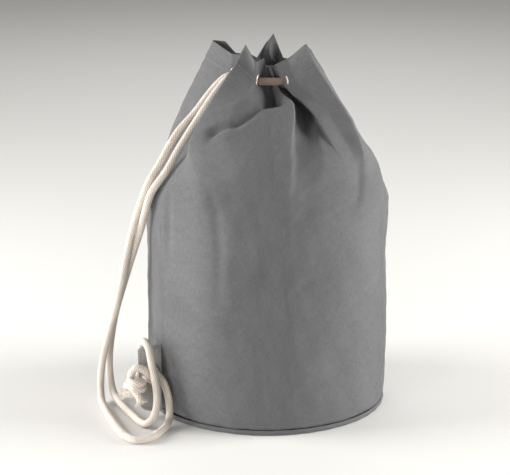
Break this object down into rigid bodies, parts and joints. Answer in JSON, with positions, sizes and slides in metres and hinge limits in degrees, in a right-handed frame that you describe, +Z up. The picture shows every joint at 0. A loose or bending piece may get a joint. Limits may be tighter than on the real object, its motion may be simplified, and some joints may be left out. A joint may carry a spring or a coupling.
{
  "type": "drawstring backpack",
  "caption": "Round-based canvas duffle bag gathered at the mouth by a cotton rope whose two ends hang as shoulder straps and are knotted at a base tab.",
  "frame": {"origin": "centre of the round base, on the surface the bag stands on", "axes": "+Z up the bag from the base to the mouth; -Y is the front, with the rope straps and the base tab on the -X side"},
  "size_m": [0.3162, 0.2852, 0.3926],
  "materials": {
    "canvas": "matt grey cotton canvas, plain weave",
    "canvas_seam": "inside of the grey canvas, seam allowance",
    "canvas_tab": "folded grey canvas, top-stitched",
    "cotton_rope": "undyed braided cotton rope",
    "nickel": "nickel-plated pressed brass, bright"
  },
  "bodies": {
    "bag": {"base_panel": "canvas", "base_seam": "canvas", "body_panel": "canvas", "side_seam": "canvas_seam", "collar_pleat_right": "canvas", "collar_pleat_back": "canvas", "collar_pleat_left": "canvas", "collar_pleat_front": "canvas", "mouth_eyelet_1": "nickel", "mouth_washer_1": "nickel", "mouth_eyelet_2": "nickel", "mouth_washer_2": "nickel", "mouth_eyelet_3": "nickel", "mouth_washer_3": "nickel", "mouth_eyelet_4": "nickel", "mouth_washer_4": "nickel", "mouth_eyelet_5": "nickel", "mouth_washer_5": "nickel", "mouth_eyelet_6": "nickel", "mouth_washer_6": "nickel", "mouth_eyelet_7": "nickel", "mouth_washer_7": "nickel", "mouth_eyelet_8": "nickel", "mouth_washer_8": "nickel", "drawcord_neck": "cotton_rope", "back_strap": "cotton_rope", "front_strap": "cotton_rope", "end_knot": "cotton_rope", "rope_end_outer": "cotton_rope", "rope_end_lower": "cotton_rope"},
    "tab": {"base_tab": "canvas_tab", "tab_eyelet": "nickel", "tab_washer": "nickel"}
  },
  "joints": [
    {"name": "tab_swing", "type": "hinge", "parent": "bag", "child": "tab", "pos_m": [-0.11285, -0.06515, 0.037], "axis": [0, 0, 1], "range_deg": [-12, 4]}
  ]
}
